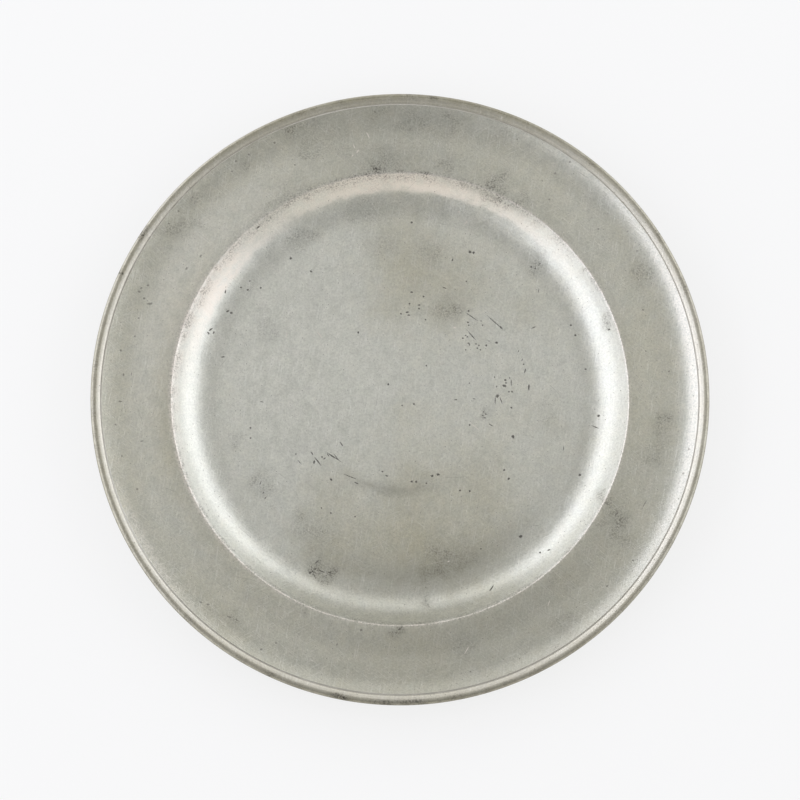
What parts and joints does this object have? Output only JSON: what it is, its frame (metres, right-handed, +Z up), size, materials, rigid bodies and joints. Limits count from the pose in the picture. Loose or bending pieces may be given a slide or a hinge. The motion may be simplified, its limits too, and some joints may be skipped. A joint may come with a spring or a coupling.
{
  "type": "pewter charger",
  "caption": "Large round pewter serving plate with a flat well, a curved booge, a broad flange and a half-round reed soldered round its edge.",
  "frame": {"origin": "centre of the underside of the well, on the surface that the charger lies on", "axes": "+Z up along the axis of the plate; +Y towards the top of the plate as it stands in the picture, +X to its right"},
  "size_m": [0.4199, 0.42, 0.0261],
  "materials": {
    "cast_pewter": "satin, aged, with a soft grey patina and knife marks",
    "reed_pewter": "satin, tarnished on its outer side",
    "soft_solder": "dull, dirty"
  },
  "bodies": {
    "root": {"charger_plate": "cast_pewter", "rim_reed": "reed_pewter", "reed_solder": "soft_solder"}
  },
  "joints": []
}
